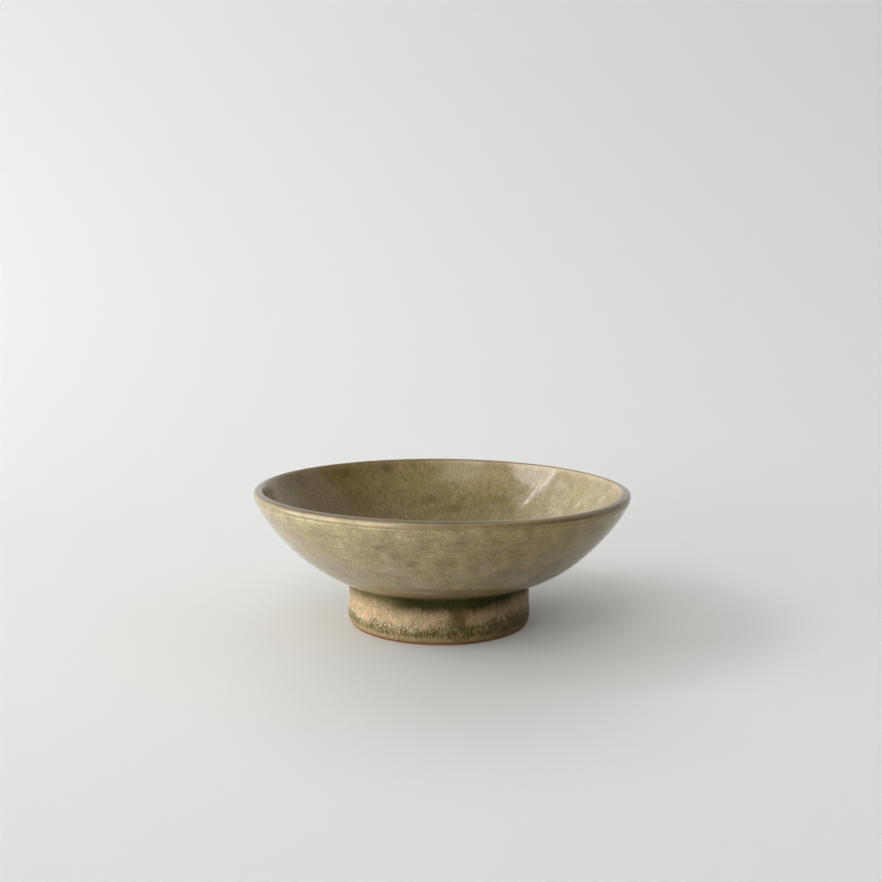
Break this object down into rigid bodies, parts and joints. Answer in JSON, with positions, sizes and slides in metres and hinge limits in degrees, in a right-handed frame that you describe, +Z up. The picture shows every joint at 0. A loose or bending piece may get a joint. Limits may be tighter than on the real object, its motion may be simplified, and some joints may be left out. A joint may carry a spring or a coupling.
{
  "type": "footed deep dish",
  "caption": "Wheel-thrown deep dish: a flaring glazed bowl with a rounded lip on a tall ring foot, which stands on its bare clay edge. Holds food.",
  "frame": {"origin": "centre of the rim, dropped to the plane that the foot stands on", "axes": "+Z up, along the dish's axis; +X to the right and +Y away from the viewer; the foot is set 1 mm towards -X"},
  "size_m": [0.16, 0.16, 0.0589],
  "materials": {
    "clay": "matt fired buff stoneware",
    "bare_clay": "matt fired stoneware, toasted orange-brown where it is bare",
    "slip": "matt fired clay slip",
    "liner_glaze": "glossy olive ash glaze, finely crackled and mottled",
    "outer_glaze": "glossy olive-grey ash glaze with throwing lines; pinkish tan and pooled green on the foot",
    "foot_glaze": "satin olive-brown glaze in the foot recess"
  },
  "bodies": {
    "root": {"bowl_body": "clay", "foot_ring": "bare_clay", "luting_slip": "slip", "glaze_inside": "liner_glaze", "glaze_outside": "outer_glaze", "glaze_foot_well": "foot_glaze"}
  },
  "joints": []
}
